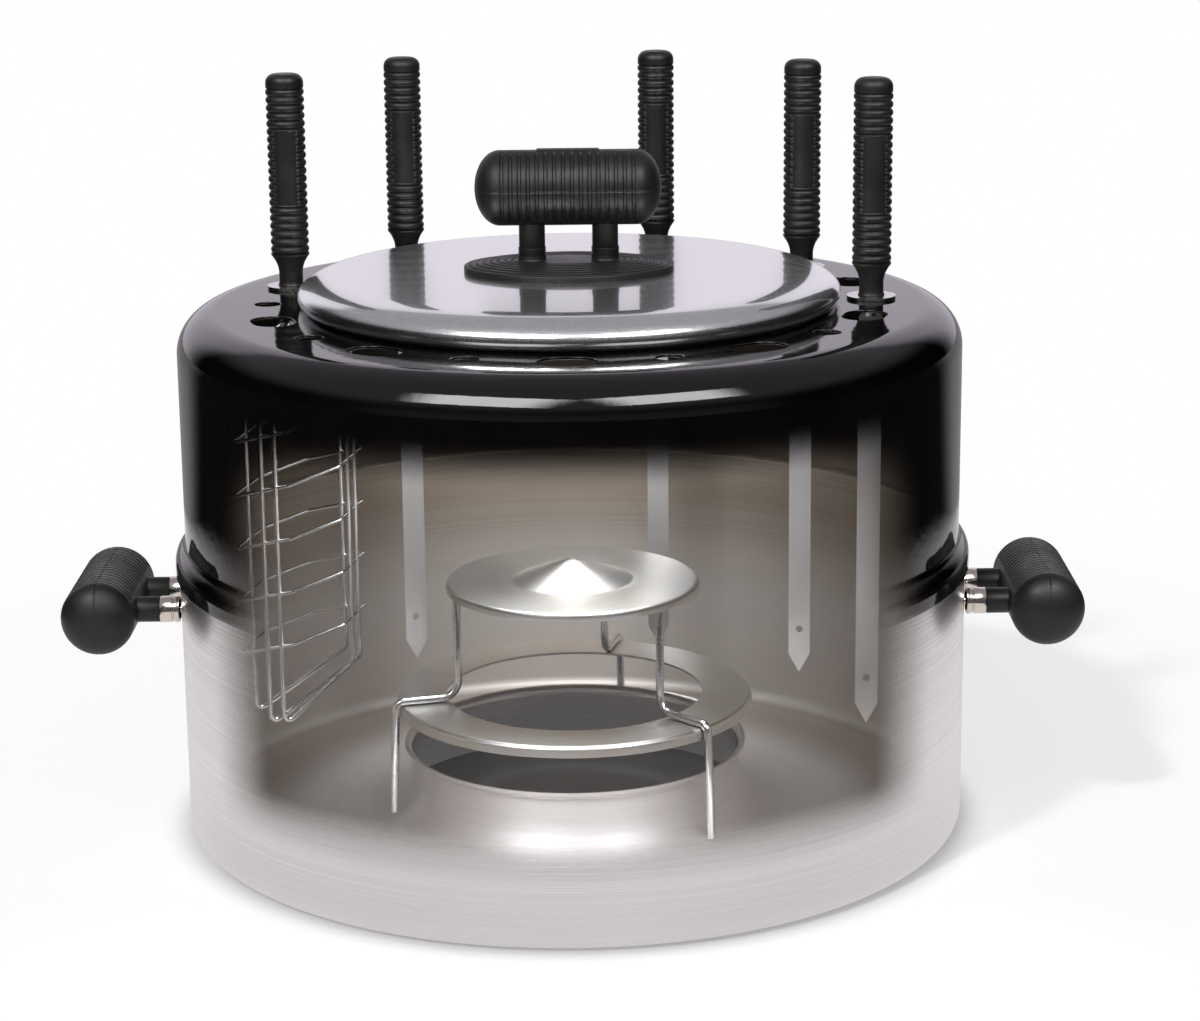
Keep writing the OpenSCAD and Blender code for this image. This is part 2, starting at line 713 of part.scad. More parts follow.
base_pan();
side_grip(LEFT);  // side_grip_left
side_ferrules(LEFT);  // side_ferrules_left
side_washers(LEFT);  // side_washers_left
side_screws(LEFT);  // side_screws_left
side_grip(RIGHT);  // side_grip_right
side_ferrules(RIGHT);  // side_ferrules_right
side_washers(RIGHT);  // side_washers_right
side_screws(RIGHT);  // side_screws_right
hood();
lid_dish();
lid_handle_plate();
lid_grip();
lid_washers();
lid_screws();
spreader_disc();
spreader_ring();
spreader_legs();
guard(SKEWER_ANGLES[0]);  // skewer_1_guard
skewer_grip(SKEWER_ANGLES[0]);  // skewer_1_grip
skewer_blade(SKEWER_ANGLES[0]);  // skewer_1_blade
guard(SKEWER_ANGLES[1]);  // skewer_2_guard
skewer_grip(SKEWER_ANGLES[1]);  // skewer_2_grip
skewer_blade(SKEWER_ANGLES[1]);  // skewer_2_blade
guard(SKEWER_ANGLES[2]);  // skewer_3_guard
skewer_grip(SKEWER_ANGLES[2]);  // skewer_3_grip
skewer_blade(SKEWER_ANGLES[2]);  // skewer_3_blade
guard(SKEWER_ANGLES[3]);  // skewer_4_guard
skewer_grip(SKEWER_ANGLES[3]);  // skewer_4_grip
skewer_blade(SKEWER_ANGLES[3]);  // skewer_4_blade
guard(BASKET_ANGLE);  // basket_guard
skewer_grip(BASKET_ANGLE);  // basket_grip
basket_cage();
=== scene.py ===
"""Looks of the stovetop grill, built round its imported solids.

Lengths are in millimetres until a mesh, a lamp or the camera is made. Materials read positions in metres.
Z is up and the front is -Y.
"""

import math

import bmesh
import bpy
import numpy as np
from mathutils import Matrix, Vector

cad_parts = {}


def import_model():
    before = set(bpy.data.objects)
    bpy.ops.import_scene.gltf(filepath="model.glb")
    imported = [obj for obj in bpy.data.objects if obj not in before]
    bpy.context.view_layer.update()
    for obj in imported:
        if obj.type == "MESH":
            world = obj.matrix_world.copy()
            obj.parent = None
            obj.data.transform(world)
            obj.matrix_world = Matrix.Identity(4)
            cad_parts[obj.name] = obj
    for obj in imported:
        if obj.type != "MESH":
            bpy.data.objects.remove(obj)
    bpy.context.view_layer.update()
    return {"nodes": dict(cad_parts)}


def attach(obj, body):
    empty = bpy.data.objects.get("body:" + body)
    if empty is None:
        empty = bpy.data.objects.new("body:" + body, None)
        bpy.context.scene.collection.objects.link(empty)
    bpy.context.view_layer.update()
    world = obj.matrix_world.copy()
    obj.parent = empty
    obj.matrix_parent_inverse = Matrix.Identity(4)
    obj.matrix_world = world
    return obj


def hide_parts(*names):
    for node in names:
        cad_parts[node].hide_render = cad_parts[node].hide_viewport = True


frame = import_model()

MM = 0.001
FULL_TURN = 2 * math.pi
MERGE_M = 1e-7

# Base pan
BASE_R, BASE_H, BASE_SHEET, BASE_CORNER_R = 175.0, 126.0, 1.5, 7.0
THROAT_R, COLLAR_H, COLLAR_EDGE_R, FLARE_R = 73.5, 33.0, 4.0, 20.0
# Hood
HOOD_R, HOOD_TOP, HOOD_SHEET, SHOULDER_R = 172.0, 234.3, 1.2, 17.5
LIP_R, LIP_Z, LIP_FLARE_R, LIP_BEND_R = 176.7, 118.4, 4.0, 9.0
OPENING_R, OPENING_LIP_H, OPENING_EDGE_R = 107.0, 4.0, 1.5
HOLE_CIRCLE_R, HOLE_COUNT, WIDE_HOLE_L, WIDE_HOLE_W, SMALL_HOLE_D = 132.7, 10, 24.0, 18.0, 11.5
HOLE_RING, HOLE_STEP_A, HOLE_EDGE_R = (112.0, 150.0), 360 / HOLE_COUNT, 0.4
# Lid
LID_R, LID_TOP, LID_SHEET, LID_ROUND_W, LID_CURL_R, LID_CURL_A = 119.0, 248.0, 1.2, 19.0, 5.0, 80.0
PLATE_L, PLATE_W, PLATE_END_R, PLATE_EDGE_T, PLATE_CROWN = 92.0, 68.0, 26.0, 2.9, 2.1
PLATE_ROUND, RIDGE_COUNT, RIDGE_PITCH, RIDGE_H, RIDGE_STEPS = 0.7, 7, 3.1, 0.9, 10
BOSS_D, BOSS_TOP, BOSS_BEVEL, BOSS_SUNK = 12.2, 258.6, 0.2, 0.6
BOSS_FOOT_R, BOSS_FOOT_Z, BOSS_GROOVES, BOSS_GROOVE_DEPTH = 1.2, 0.9, (2.6, 1.6, 0.6), 0.55
# Pan grips
GRIP_L, GRIP_R, GRIP_END_L, GRIP_ROW_A = 81.5, 16.4, 11.0, 4.5
GROOVE_COUNT, GROOVE_PITCH, GROOVE_W, GROOVE_DEPTH, GROOVE_WALL = 16, 3.8, 1.9, 0.8, 0.45
GROOVE_LOW_A, GROOVE_HIGH_A, GROOVE_FADE_A, SEAM_A, SEAM_DEPTH = -60.0, 72.0, 2.0, 1.2, 0.25
PAD_L, PAD_W, PAD_H, PAD_EDGE = 28.0, 9.0, 0.6, 0.8
POST_GAP, POST_D, POST_BEVEL, POST_SUNK = 32.0, 11.4, 0.4, 2.0
LID_GRIP_Z, LID_POST_REACH = 284.6, 26.0
SIDE_GRIP_R, SIDE_Z, SIDE_POST_REACH = 209.6, 100.0, 25.8
FERRULE_L, FERRULE_D, FERRULE_BORE_R = 8.8, 12.0, 2.2
# Heat spreader
DISC_R, DISC_Z, DISC_RIM, SPREADER_SHEET, SPREADER_EDGE_R = 57.5, 107.5, 3.5, 1.0, 2.0
CONE_R, CONE_H, CONE_TIP_R, CONE_TIP_A = 27.25, 9.5, 14.0, 25.0
RING_R, RING_HOLE_R, RING_Z, RING_RIM = 80.5, 58.0, 55.0, 5.0
LEG_COUNT, LEG_D, LEG_BENDS, LEG_GAP = 3, 3.6, (8.0, 3.6), 0.05
LEG_IN_R, LEG_OUT_R, FOOT_R, FIRST_LEG_A = 53.9, 82.5, 84.8, 75.0
# Skewers and basket
SKEWER_ANGLES, BASKET_ANGLE = (0, 36, 72, 126), 162
HANDLE_Z, HANDLE_L, HANDLE_D, CAP_R, CAP_INSET = 235.9, 95.0, 17.2, 4.0, 0.15
NECK_L, NECK_D, NECK_STRAIGHT, FOOT_FLARE, FOOT_H = 13.7, 10.7, 0.4, 0.5, 2.0
RIB_Z, RIB_PITCH, RIB_COUNT, RIB_DEPTH, RIB_POWER = 14.57, 3.53, 21, 1.2, 0.7
PANEL_L, PANEL_W, PANEL_SIDE_EDGE, PANEL_END_EDGE = 33.0, 10.0, 0.5, 0.6
TANG_D, TANG_BELOW_L, TANG_SUNK = 5.0, 8.0, 1.0
BASKET_L, BASKET_W, BASKET_SIDE, BASKET_TURN = 62.0, 42.0, 24.0, 25.0
UPRIGHT_D, HOOP_D, HOOP_COUNT, HOOP_PITCH, HOOP_SLOPE, HOOP_BEND_R = 2.4, 1.6, 6, 25.0, 0.28, 2.0
BASKET_DROP, BASKET_REACH, BOTTOM_RISE, BASKET_BEND_R = 36.0, 202.0, 26.0, 3.0
BASKET_COLLAR_D, BASKET_COLLAR_L, BASKET_COLLAR_BEVEL, BASKET_COLLAR_TAPER = 9.0, 10.0, 1.0, 1.5
# The two ends of each upright: a side of the basket's hexagon and a share of the way along it
UPRIGHTS = (((3, 0.5), (5, 0.65)), ((3, 0.75), (5, 0.35)), ((2, 0.5), (0, 0.4)))
SEAT_GAP = 0.2

# Sides of round meshes, and the angles above which an edge is shaded sharp
SPUN_STEPS, SPREADER_STEPS, ROUND_STEPS, TANG_STEPS = 240, 192, 64, 48
SHARP_A, SHARP_GRIP_A, SHARP_ROUND_A, SHARP_RIB_A = 32, 48, 50, 60

# See-through front: degrees from the front and millimetres up, where it is clear and where it is closed
HOOD_WINDOW = {"sides": (44, 62), "foot": (101, 100), "top": (190, 213)}
BASE_WINDOW = {"sides": (45, 61), "foot": (53, 27), "top": (170, 171)}
WINDOW_WALL_R = (167, 166)

# Studio that reflections see: angles from the back in degrees, and the Y and Z of a ray's direction
BACKDROP_LEFT_A, BACKDROP_RIGHT_A, BACKDROP_Z, BACKDROP = (-48, -30), (43, 25), (0.62, 0.48), 0.86
ABOVE_Z, ABOVE = (0.28, 0.62), 0.32
FRONT_Y, FRONT_Z, FRONT = (-0.3, -0.8), (0.12, 0.45), 0.14
STUDIO_TINT, FILL = (0.965, 0.905, 1.0), 0.42

# Floor: its size in millimetres, and the radii in metres between which its tones change
FLOOR_R, FLOOR_SIDES, FLOOR_DROP = 9000.0, 96, 0.2
BEHIND_A, BEHIND, PALE_R, UNDER_SHADE_R, FAR_R = (56, 40), 0.40, (0.68, 0.58), (0.10, 0.18), (0.22, 0.45)
GLOW_R, WHITE_R = (0.16, 0.19), (0.36, 0.62)

# Lamps: what each kind is hidden from, and the point that they look at, in millimetres
UNSEEN, HIGHLIGHT = ("camera", "glossy"), ("camera", "diffuse")
LAMP_TARGET = Vector((0, 0, 120))

# Camera, fitted to the photo's 1200 by 1021 frame
CAMERA_AT = (12.463, -1290.482, 470.594)
CAMERA_PITCH, CAMERA_ROLL, CAMERA_LENS, CAMERA_SENSOR = 0.2515, -0.0107, 89.26, 36.0


# Meshes

def mesh_object(name, part, body, node, materials, face_slots=None, sharp=SHARP_A):
    """A smooth-shaded piece, from points in millimetres, that rides on a body in place of a node."""
    points, faces = part
    mesh = bpy.data.meshes.new(name)
    mesh.from_pydata((np.asarray(points, float) * MM).tolist(), [], faces)
    for material in materials:
        mesh.materials.append(material)
    if face_slots is not None:
        mesh.polygons.foreach_set("material_index", np.asarray(face_slots, np.int32))
    work = bmesh.new()
    work.from_mesh(mesh)
    bmesh.ops.remove_doubles(work, verts=work.verts, dist=MERGE_M)
    bmesh.ops.dissolve_degenerate(work, edges=work.edges, dist=MERGE_M)
    work.to_mesh(mesh)
    work.free()
    mesh.polygons.foreach_set("use_smooth", [True] * len(mesh.polygons))
    mesh.set_sharp_from_angle(angle=math.radians(sharp))
    obj = bpy.data.objects.new(name, mesh)
    bpy.context.scene.collection.objects.link(obj)
    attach(obj, body)
    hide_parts(node)


def arc(center, radius, start, end, steps):
    """Points on an arc, with its angles in degrees."""
    angles = np.radians(np.linspace(start, end, steps + 1))
    return [(center[0] + radius * math.cos(a), center[1] + radius * math.sin(a)) for a in angles]


def offset(path, distance):
    """The path moved to its left by a distance, with mitred corners."""
    p = np.asarray(path, float)
    way = np.diff(p, axis=0)
    normals = np.stack([-way[:, 1], way[:, 0]], 1) / np.linalg.norm(way, axis=1)[:, None]
    before = np.vstack([normals[:1], normals])
    after = np.vstack([normals, normals[-1:]])
    share = 1 + (before * after).sum(1)
    shifted = p + distance * (before + after) / share[:, None]
    shifted[:, 0] = np.maximum(shifted[:, 0], 0)
    return [tuple(q) for q in shifted]


def sheet_loop(path, distance):
    """The closed outline of a sheet: the path, then its other side on the way back."""
    return list(path) + offset(path, distance)[::-1]


def ring_faces(rings, sides, closed=False, flip=False):
    """Quads between rings of points that are listed one ring after the other."""
    faces = []
    for i in range(rings if closed else rings - 1):
        low, high = i * sides, (i + 1) % rings * sides
        for k in range(sides):
            m = (k + 1) % sides
            if flip:
                faces.append((low + k, high + k, high + m, low + m))
            else:
                faces.append((low + k, low + m, high + m, high + k))
    return faces


def spun(loop, steps=SPUN_STEPS, closed=True):
    """Points and faces of an outline of (radius, height) turned about Z, listed along the outline."""
    angles = np.linspace(0, FULL_TURN, steps, endpoint=False)
    points = [(r * math.cos(a), r * math.sin(a), z) for r, z in loop for a in angles]
    return points, ring_faces(len(loop), steps, closed)


def joined(*parts):
    """Several (points, faces) as one."""
    points, faces = [], []
    for p, f in parts:
        faces += [tuple(len(points) + i for i in face) for face in f]
        points += [tuple(q) for q in p]
    return points, faces


def moved(part, matrix):
    points, faces = part
    return [tuple(matrix @ Vector(p)) for p in points], faces


def rounded(points, bends, closed=False, steps=8):
    """A path with its corners turned into arcs, of one radius or of one for each corner."""
    p = [Vector(q) for q in points]
    n = len(p)
    corners = list(range(n) if closed else range(1, n - 1))
    radii = bends if isinstance(bends, tuple) else (bends,) * len(corners)
    path = [] if closed else [p[0]]
    for i, radius in zip(corners, radii):
        a, b, c = p[i - 1], p[i], p[(i + 1) % n]
        u, v = (b - a).normalized(), (c - b).normalized()
        turn = u.angle(v)
        across = (v - v.dot(u) * u).normalized()
        start = b - radius * math.tan(turn / 2) * u
        for k in range(steps + 1):
            t = turn * k / steps
            path.append(start + radius * math.sin(t) * u + radius * (1 - math.cos(t)) * across)
    return path if closed else path + [p[-1]]


def tube(path, diameter, closed=False, sides=16, round_end=0.3):
    """A wire along a path, with a small bevel at free ends."""
    p = [Vector(q) for q in path]
    n = len(p)
    tangents = []
    for i in range(n):
        a = p[i - 1] if closed or i else p[i]
        b = p[(i + 1) % n] if closed or i < n - 1 else p[i]
        tangents.append((b - a).normalized())
    side = tangents[0].orthogonal().normalized()
    rings = []
    for i, t in enumerate(tangents):
        side = (side - side.dot(t) * t).normalized()
        rings.append((p[i], side.copy(), t.cross(side), diameter / 2))
    if not closed:
        first, last = rings[0], rings[-1]
        bevel = round_end * diameter / 2
        tip = (*first[:3], diameter / 2 - bevel)
        end = (*last[:3], diameter / 2 - bevel)
        rings[0] = (first[0] + bevel * tangents[0], *first[1:])
        rings[-1] = (last[0] - bevel * tangents[-1], *last[1:])
        rings = [tip] + rings + [end]
    points = []
    for center, u, v, r in rings:
        for k in range(sides):
            a = FULL_TURN * k / sides
            points.append(tuple(center + r * (math.cos(a) * u + math.sin(a) * v)))
    count = len(rings)
    faces = ring_faces(count, sides)
    if closed:
        last_ring = (count - 1) * sides
        ends = [(Vector(points[last_ring]) - Vector(points[k])).length for k in range(sides)]
        shift = int(np.argmin(ends))
        for k in range(sides):
            m = (k + 1) % sides
            faces.append((last_ring + k, last_ring + m, (m + shift) % sides, (k + shift) % sides))
    else:
        faces.append(tuple(range(sides))[::-1])
        faces.append(tuple((count - 1) * sides + k for k in range(sides)))
    return points, faces


# Materials

SOCKETS = {"base_color": "Base Color", "metallic": "Metallic", "roughness": "Roughness", "ior": "IOR",
           "alpha": "Alpha", "normal": "Normal", "specular": "Specular IOR Level", "tangent": "Tangent",
           "anisotropic": "Anisotropic", "anisotropic_rotation": "Anisotropic Rotation"}


class Nodes:
    """Short calls to add and join the nodes of a tree."""

    def __init__(self, tree):
        self.tree = tree

    def feed(self, socket, value):
        """Joins an output to a socket, or sets the socket to a constant."""
        if isinstance(value, bpy.types.NodeSocket):
            self.tree.links.new(value, socket)
        elif socket.type == "RGBA" and len(value) == 3:
            socket.default_value = (*value, 1.0)
        else:
            socket.default_value = value

    def add(self, kind, inputs=(), **settings):
        node = self.tree.nodes.new("ShaderNode" + kind)
        for name, value in settings.items():
            setattr(node, name, value)
        for key, value in dict(inputs).items():
            self.feed(node.inputs[key], value)
        return node

    def split(self, vector):
        node = self.add("SeparateXYZ", {0: vector})
        return node.outputs[0], node.outputs[1], node.outputs[2]

    def math(self, operation, a, b=0.0):
        return self.add("Math", {0: a, 1: b}, operation=operation).outputs[0]

    def ramp(self, value, low, high, to_low=0.0, to_high=1.0, smooth=True):
        kind = "SMOOTHSTEP" if smooth else "LINEAR"
        inputs = {"Value": value, "From Min": low, "From Max": high, "To Min": to_low, "To Max": to_high}
        return self.add("MapRange", inputs, interpolation_type=kind).outputs["Result"]

    def blend(self, share, a, b):
        """The output of one shader that turns into another."""
        return self.add("MixShader", {0: share, 1: a, 2: b}).outputs[0]


class Look(Nodes):
    """A material on the Principled shader."""

    def __init__(self, name, **sockets):
        self.material = bpy.data.materials.new(name)
        self.material.use_nodes = True
        super().__init__(self.material.node_tree)
        self.shader = self.tree.nodes["Principled BSDF"]
        self.set(**sockets)

    def set(self, **sockets):
        """Sets or joins the shader's sockets; base_color stands for Base Color, and so on."""
        for name, value in sockets.items():
            self.feed(self.shader.inputs[SOCKETS[name]], value)

    def place(self):
        """Position in the object's own frame, in metres."""
        return self.add("TexCoord").outputs["Object"]

    def height(self):
        return self.split(self.place())[2]

    def radius(self):
        """Distance from the Z axis."""
        x, y, _ = self.split(self.place())
        return self.math("SQRT", self.math("ADD", self.math("MULTIPLY", x, x), self.math("MULTIPLY", y, y)))

    def noise(self, scale, detail=3.0, roughness=0.55, vector=None):
        vector = vector or self.place()
        inputs = {"Vector": vector, "Scale": scale, "Detail": detail, "Roughness": roughness}
        return self.add("TexNoise", inputs).outputs["Fac"]

    def mix(self, share, a, b):
        node = self.add("Mix", data_type="RGBA")
        for key, value in (("Factor_Float", share), ("A_Color", a), ("B_Color", b)):
            self.feed(next(s for s in node.inputs if s.identifier == key), value)
        return next(s for s in node.outputs if s.identifier == "Result_Color")

    def bump(self, height, strength, distance):
        inputs = {"Height": height, "Strength": strength, "Distance": distance}
        return self.add("Bump", inputs).outputs[0]

    def spun_marks(self, coarse, fine):
        """Fine rings left by spinning and polishing, the same all the way round but for a slow drift."""
        along = self.add("CombineXYZ", {0: self.radius(), 1: 0.0, 2: self.height()}).outputs[0]
        drift = self.add("CombineXYZ", {0: self.math("MULTIPLY", self.noise(9.0), 0.0007)}).outputs[0]
        shifted = self.add("VectorMath", {0: along, 1: drift}).outputs[0]
        wide = self.noise(coarse, 2.0, vector=shifted)
        narrow = self.noise(fine, 1.0, vector=shifted)
        return self.math("ADD", self.math("MULTIPLY", wide, 0.5), self.math("MULTIPLY", narrow, 0.5))


def spun_metal(name, anisotropic, coarse=900.0, fine=4000.0):
    """A metal with highlights drawn across its rings, and the pattern of the rings."""
    look = Look(name, metallic=1.0, anisotropic=anisotropic, anisotropic_rotation=0.25)
    look.set(tangent=look.add("Tangent", direction_type="RADIAL", axis="Z").outputs[0])
    return look, look.spun_marks(coarse, fine)


def open_front(look, sides, foot, top):
    """Fades a wall out round the front, by its angle, its height and its distance from the axis."""
    x, y, z = look.split(look.place())
    angle = look.math("ABSOLUTE", look.math("ARCTAN2", x, look.math("MULTIPLY", y, -1.0)))
    clear = look.ramp(angle, math.radians(sides[1]), math.radians(sides[0]))
    for at_clear, at_closed in (foot, top):
        clear = look.math("MULTIPLY", clear, look.ramp(z, at_closed * MM, at_clear * MM))
    on_wall = look.ramp(look.radius(), WINDOW_WALL_R[1] * MM, WINDOW_WALL_R[0] * MM, smooth=False)
    clear = look.math("MULTIPLY", clear, on_wall)
    look.set(alpha=look.ramp(clear, 0.0, 1.0, 1.0, 0.0, smooth=False))


def enamel():
    look = Look("hood_enamel", ior=1.55)
    look.set(base_color=look.mix(look.noise(40.0, 4.0), (0.0012, 0.0009, 0.0010), (0.0030, 0.0022, 0.0024)))
    look.set(roughness=look.ramp(look.noise(22.0), 0.3, 0.75, 0.035, 0.075))
    look.set(normal=look.bump(look.noise(260.0, 1.0), 0.06, 0.0004))
    open_front(look, **HOOD_WINDOW)
    return look.material


def hood_inside():
    """Browned metal, with painted shade that turns it dark towards the hood's top."""
    look, marks = spun_metal("hood_inside", 0.4)
    tone = look.mix(look.noise(14.0, 4.0), (0.41, 0.355, 0.295), (0.52, 0.46, 0.39))
    bare = look.mix(look.ramp(marks, 0.3, 0.7, 0.0, 0.3), tone, (0.36, 0.31, 0.26))
    # Painted shade: the colour goes near black towards the hood's top
    look.set(base_color=look.mix(look.ramp(look.height(), 0.114, 0.152), bare, (0.028, 0.025, 0.022)))
    look.set(roughness=look.ramp(marks, 0.25, 0.75, 0.32, 0.46))
    look.set(normal=look.bump(marks, 0.12, 0.0002))
    open_front(look, **HOOD_WINDOW)
    return look.material


def base_aluminium(name, wall, roughness, wall_z=(0.004, 0.05), foot=None, floor_dark_reflection=None):
    """Spun aluminium: bright collar, own wall tone, painted highlight at the wall's foot, painted dark
    reflection on the floor.
    """
    look, marks = spun_metal(name, 0.6)
    cloud = look.noise(11.0, 4.0)
    bright = look.mix(cloud, (0.73, 0.71, 0.715), (0.81, 0.79, 0.795))
    # A foot tone, where given, lightens the wall's foot as a painted highlight of the corner bend
    upright_tone = look.mix(look.ramp(look.height(), *wall_z), foot or bright, look.mix(cloud, *wall))
    # Painted dark reflection: where given, the floor turns darker towards the wall
    flat_tone = look.mix(look.ramp(look.radius(), 0.115, 0.150), bright, floor_dark_reflection or bright)
    tone = look.mix(look.ramp(look.radius(), 0.168, 0.1725), flat_tone, upright_tone)
    look.set(base_color=look.mix(look.ramp(marks, 0.3, 0.7, 0.0, 0.3), tone, (0.64, 0.61, 0.59)))
    look.set(roughness=look.ramp(marks, 0.25, 0.75, *roughness))
    look.set(normal=look.bump(marks, 0.10, 0.0002))
    open_front(look, **BASE_WINDOW)
    return look.material


def lid_polish():
    look, marks = spun_metal("lid_polished", 0.2, 1200.0, 5000.0)
    smudge = look.noise(26.0, 5.0, 0.65)
    rings = look.math("MULTIPLY", look.math("SUBTRACT", marks, 0.5), 0.2)
    haze = look.math("ADD", look.noise(7000.0, 1.0), rings)
    look.set(base_color=look.mix(smudge, (0.84, 0.86, 0.85), (0.90, 0.92, 0.91)))
    look.set(roughness=look.ramp(haze, 0.46, 0.58, 0.03, 0.34))
    look.set(normal=look.bump(marks, 0.008, 0.0001))
    return look.material


def bakelite():
    look = Look("grip_bakelite", specular=0.40)
    cloud = look.noise(60.0, 4.0)
    look.set(base_color=look.mix(cloud, (0.0082, 0.0079, 0.0074), (0.0145, 0.0140, 0.0130)))
    look.set(roughness=look.ramp(cloud, 0.3, 0.7, 0.38, 0.52))
    look.set(normal=look.bump(look.noise(1500.0, 2.0), 0.10, 0.0001))
    return look.material


def metal(name, low, high, roughness, scale, stretch=(1.0, 1.0, 1.0), depth=0.10):
    """A plain metal with fine marks; a small stretch along an axis draws them out along it."""
    look = Look(name, metallic=1.0)
    place = look.add("Mapping", {"Vector": look.place(), "Scale": stretch}).outputs[0]
    marks = look.noise(scale, 3.0, vector=place)
    look.set(base_color=look.mix(look.noise(35.0, 4.0), low, high))
    look.set(roughness=look.ramp(marks, 0.3, 0.7, *roughness))
    look.set(normal=look.bump(marks, depth, 0.0001))
    return look.material


def spreader_steel():
    """Pressed steel with spun rings and a faint straw tint from heat."""
    look, marks = spun_metal("stainless_sheet", 0.3, 1100.0, 4500.0)
    heat = look.ramp(look.noise(30.0, 3.0), 0.35, 0.7)
    look.set(base_color=look.mix(heat, (0.78, 0.775, 0.77), (0.74, 0.71, 0.67)))
    look.set(roughness=look.ramp(marks, 0.25, 0.75, 0.32, 0.40))
    look.set(normal=look.bump(marks, 0.04, 0.0001))
    return look.material


ENAMEL, HOOD_INSIDE, POLISH, BLACK = enamel(), hood_inside(), lid_polish(), bakelite()
BASE_OUTSIDE = base_aluminium("base_aluminium", ((0.85, 0.825, 0.83), (0.93, 0.905, 0.91)), (0.24, 0.36))
# Inside: a browned wall, a light foot that is a painted highlight, an outer floor darkened as painted
# reflection
BASE_INSIDE = base_aluminium("base_inside", ((0.25, 0.205, 0.16), (0.35, 0.295, 0.235)), (0.50, 0.62),
                             (0.050, 0.110), (0.62, 0.59, 0.565), (0.42, 0.38, 0.345))
NICKEL = metal("fastener_nickel", (0.66, 0.61, 0.53), (0.78, 0.74, 0.67), (0.12, 0.24), 900.0)
LEG_WIRE = metal("leg_wire", (0.66, 0.66, 0.665), (0.75, 0.75, 0.75), (0.23, 0.28), 2500.0, depth=0.01)
WIRE = metal("stainless_wire", (0.62, 0.62, 0.63), (0.74, 0.74, 0.74), (0.16, 0.22), 2500.0, depth=0.01)
BLADE = metal("blade_steel", (0.76, 0.77, 0.78), (0.84, 0.84, 0.85), (0.28, 0.33), 6000.0, (1.0, 1.0, 0.02))
GUARD = metal("guard_steel", (0.62, 0.61, 0.60), (0.74, 0.73, 0.72), (0.14, 0.26), 900.0)
SPREADER = spreader_steel()


# Base pan

base_path = (
    arc((THROAT_R + COLLAR_EDGE_R, COLLAR_H - COLLAR_EDGE_R), COLLAR_EDGE_R, 90, 180, 14)
    + arc((THROAT_R + FLARE_R, FLARE_R), FLARE_R, 180, 270, 32)
    + [(r, 0.0) for r in np.linspace(THROAT_R + FLARE_R + 4, BASE_R - BASE_CORNER_R - 2, 8)]
    + arc((BASE_R - BASE_CORNER_R, BASE_CORNER_R), BASE_CORNER_R, 270, 360, 20)
    + [(BASE_R, z) for z in np.linspace(BASE_CORNER_R + 3, BASE_H, 8)]
)
base_part = spun(sheet_loop(base_path, BASE_SHEET))
base_slots = [int(i >= len(base_path) * SPUN_STEPS) for i in range(len(base_part[1]))]
mesh_object("base_pan_spun", base_part, "base", "base_pan", [BASE_OUTSIDE, BASE_INSIDE],
            base_slots)


# Hood

def hole_loop(angle, half_length, radius, steps=20):
    """A hole's outline on the hood's top: two half circles, apart along the circle of holes."""
    loop = [(radius * x, half_length + radius * y) for x, y in arc((0, 0), 1, 0, 180, steps)]
    loop += [(radius * x, -half_length + radius * y) for x, y in arc((0, 0), 1, 180, 360, steps)]
    a = math.radians(angle)
    return [((HOLE_CIRCLE_R + x) * math.cos(a) - y * math.sin(a),
             (HOLE_CIRCLE_R + x) * math.sin(a) + y * math.cos(a)) for x, y in loop]


def holed_ring(inner_r, outer_r, z, holes):
    """A flat ring with holes, filled with triangles, as points and faces that look up."""
    work = bmesh.new()
    circle = [(math.cos(a), math.sin(a)) for a in np.linspace(0, FULL_TURN, SPUN_STEPS, endpoint=False)]
    loops = [[(r * x, r * y) for x, y in circle] for r in (inner_r, outer_r)] + holes
    edges = []
    for loop in loops:
        corners = dict.fromkeys((round(x, 5), round(y, 5)) for x, y in loop)
        verts = [work.verts.new((x, y, z)) for x, y in corners]
        edges += [work.edges.new((verts[i - 1], verts[i])) for i in range(len(verts))]
    bmesh.ops.triangle_fill(work, use_beauty=True, use_dissolve=False, edges=edges, normal=(0, 0, 1))
    work.verts.index_update()
    part = [tuple(v.co) for v in work.verts], [tuple(v.index for v in f.verts) for f in work.faces]
    work.free()
    return part


def hood_paths():
    """The hood's outer side, from its top opening to the ring of holes and from there to its lip."""
    bends = LIP_FLARE_R + LIP_BEND_R
    step = math.degrees(math.acos(1 - (LIP_R - HOOD_R) / bends))
    to_rim = BASE_R - LIP_R + LIP_BEND_R
    low_z = BASE_H + SEAT_GAP - math.sqrt((LIP_BEND_R - HOOD_SHEET) ** 2 - to_rim ** 2)
    high_z = low_z + bends * math.sin(math.radians(step))
    inner = [(OPENING_R, HOOD_TOP + OPENING_LIP_H)]
    inner += arc((OPENING_R + OPENING_EDGE_R, HOOD_TOP + OPENING_EDGE_R), OPENING_EDGE_R, 180, 270, 10)
    inner += [(HOLE_RING[0], HOOD_TOP)]
    outer = [(HOLE_RING[1], HOOD_TOP)]
    outer += arc((HOOD_R - SHOULDER_R, HOOD_TOP - SHOULDER_R), SHOULDER_R, 90, 0, 40)
    outer += [(HOOD_R, z) for z in np.linspace(HOOD_TOP - SHOULDER_R - 3, high_z + 2, 8)]
    outer += arc((HOOD_R + LIP_FLARE_R, high_z), LIP_FLARE_R, 180, 180 + step, 14)
    outer += arc((LIP_R - LIP_BEND_R, low_z), LIP_BEND_R, step, 0, 20)[1:]
    outer += [(LIP_R, low_z - 2), (LIP_R, LIP_Z + HOOD_SHEET / 2)]
    return inner, outer


